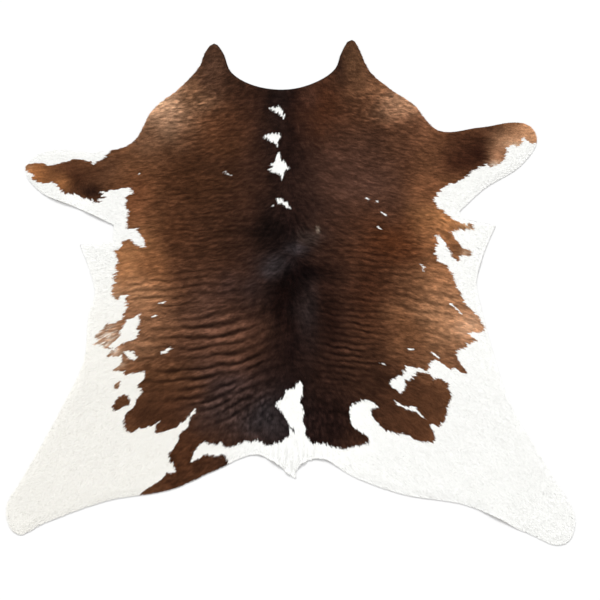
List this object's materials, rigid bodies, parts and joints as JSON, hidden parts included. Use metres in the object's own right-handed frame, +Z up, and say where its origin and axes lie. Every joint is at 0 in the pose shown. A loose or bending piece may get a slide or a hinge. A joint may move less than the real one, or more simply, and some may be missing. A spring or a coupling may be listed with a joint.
{
  "type": "cowhide rug",
  "caption": "Flat whole cowhide rug, hair side up, with brown and white patches, forelegs, hind legs, neck cut and tail root.",
  "frame": {"origin": "on the floor, under the middle of the hide's bounding box", "axes": "+Z up out of the hair side, +Y along the spine from tail to neck, +X to the right when looking from the tail towards the neck"},
  "size_m": [2.033, 2.2, 0.006],
  "materials": {
    "hair": "short glossy lying cow hair, dark brown along the spine, tan on the flanks, white on the legs and belly",
    "leather": "pale napped flesh side of tanned leather, matt"
  },
  "bodies": {
    "root": {"hide": "hair"}
  },
  "joints": []
}
